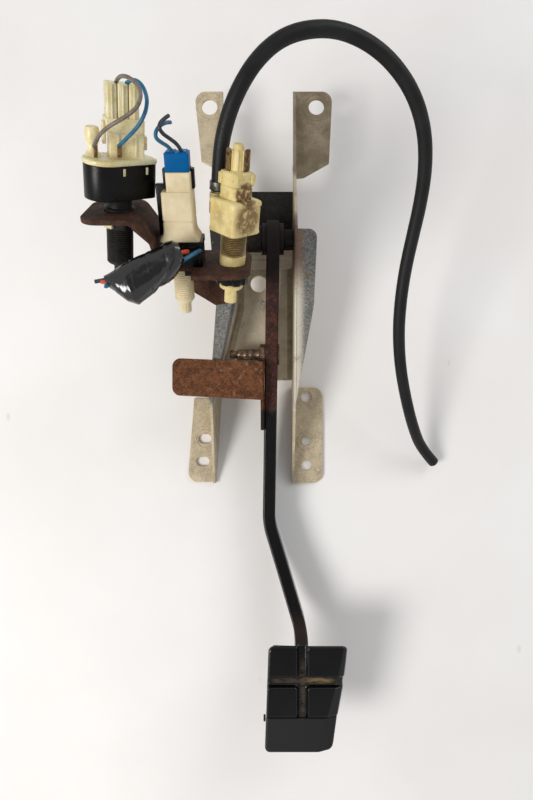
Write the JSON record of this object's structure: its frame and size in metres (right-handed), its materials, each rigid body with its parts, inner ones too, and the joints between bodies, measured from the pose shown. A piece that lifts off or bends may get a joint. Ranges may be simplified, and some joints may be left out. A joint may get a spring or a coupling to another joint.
{
  "type": "brake pedal assembly with vacuum release valve",
  "caption": "Hanging brake pedal in its steel bracket, with spring-loaded plunger switches and a vacuum release valve with its rubber hose.",
  "frame": {"origin": "centre of the locating hole in the right lower ear, on the face that bolts to the bulkhead", "axes": "+Z out of the mounting face, +Y from the pad towards the pivot, +X to the right seen from above with the pad nearest"},
  "size_m": [0.2691, 0.5565, 0.2337],
  "materials": {
    "galvanised_sheet": "dull mottled zinc, stained",
    "dark_sheet": "matte black",
    "zinc_steel": "satin",
    "bush_nylon": "matte",
    "arm_paint": "gloss black over rust",
    "rusty_steel": "rough rust",
    "pad_rubber": "worn gloss, dusty grooves",
    "ivory_nylon": "satin, yellowed and stained",
    "black_plastic": "satin",
    "milky_plastic": "translucent satin",
    "blue_plastic": "satin",
    "brass": "tarnished",
    "hose_rubber": "satin",
    "spring_steel": "bright",
    "vinyl_tape": "creased gloss",
    "wire_blue": "satin",
    "wire_grey": "satin",
    "wire_orange": "satin",
    "wire_dark": "satin"
  },
  "bodies": {
    "bracket": {"right_side_plate": "galvanised_sheet", "left_side_plate": "galvanised_sheet", "web_plate": "galvanised_sheet", "cross_plate": "dark_sheet", "pivot_bolt": "zinc_steel", "pivot_nut": "zinc_steel", "pivot_sleeve": "zinc_steel", "spacer_tube": "dark_sheet", "spacer_ring": "zinc_steel", "switch_bracket": "rusty_steel", "bracket_rivets": "rusty_steel", "valve_barrel": "ivory_nylon", "valve_spring": "spring_steel", "valve_retainer": "black_plastic", "valve_block": "ivory_nylon", "valve_collar": "ivory_nylon", "valve_post": "ivory_nylon", "valve_blades": "brass", "vacuum_hose": "hose_rubber", "hose_clamp": "zinc_steel", "brake_switch_barrel": "ivory_nylon", "brake_switch_spring": "spring_steel", "brake_switch_socket": "black_plastic", "brake_switch_body": "ivory_nylon", "brake_switch_cover": "ivory_nylon", "brake_switch_plug": "blue_plastic", "plug_wire_blue": "wire_blue", "plug_wire_dark": "wire_dark", "outer_switch_barrel": "black_plastic", "outer_switch_spring": "spring_steel", "outer_switch_nut": "black_plastic", "outer_switch_neck": "black_plastic", "outer_switch_body": "black_plastic", "outer_switch_cover": "milky_plastic", "outer_connector": "milky_plastic", "outer_cap_tube": "milky_plastic", "loop_wire_grey": "wire_grey", "loop_wire_blue": "wire_blue", "tape_bundle": "vinyl_tape", "wire_stubs": "wire_orange", "link_wire_orange": "wire_orange", "link_wire_blue": "wire_blue"},
    "pedal": {"pedal_arm": "arm_paint", "pivot_bush_left": "bush_nylon", "pivot_bush_right": "bush_nylon", "pushrod_pin": "rusty_steel", "pedal_flag": "rusty_steel", "pad_plate": "rusty_steel", "pedal_pad": "pad_rubber"},
    "valve_stem": {"valve_plunger": "ivory_nylon"},
    "brake_switch_stem": {"brake_switch_plunger": "ivory_nylon"},
    "outer_switch_stem": {"outer_switch_plunger": "ivory_nylon"}
  },
  "joints": [
    {"name": "pedal_swing", "type": "hinge", "parent": "bracket", "child": "pedal", "pos_m": [-0.0317, 0.1734, 0.052], "axis": [-1, 0, 0], "range_deg": [0, 49.5]},
    {"name": "valve_press", "type": "slide", "parent": "bracket", "child": "valve_stem", "axis": [0.0847, 0.8357, 0.5427], "range_m": [0, 0.005], "stiffness_N_per_m": 400, "springref_m": -0.004},
    {"name": "brake_switch_press", "type": "slide", "parent": "bracket", "child": "brake_switch_stem", "axis": [0, 0.8387, 0.5446], "range_m": [0, 0.005], "stiffness_N_per_m": 500, "springref_m": -0.004},
    {"name": "outer_switch_press", "type": "slide", "parent": "bracket", "child": "outer_switch_stem", "axis": [0.1191, 0.8327, 0.5408], "range_m": [0, 0.005], "stiffness_N_per_m": 500, "springref_m": -0.004}
  ]
}
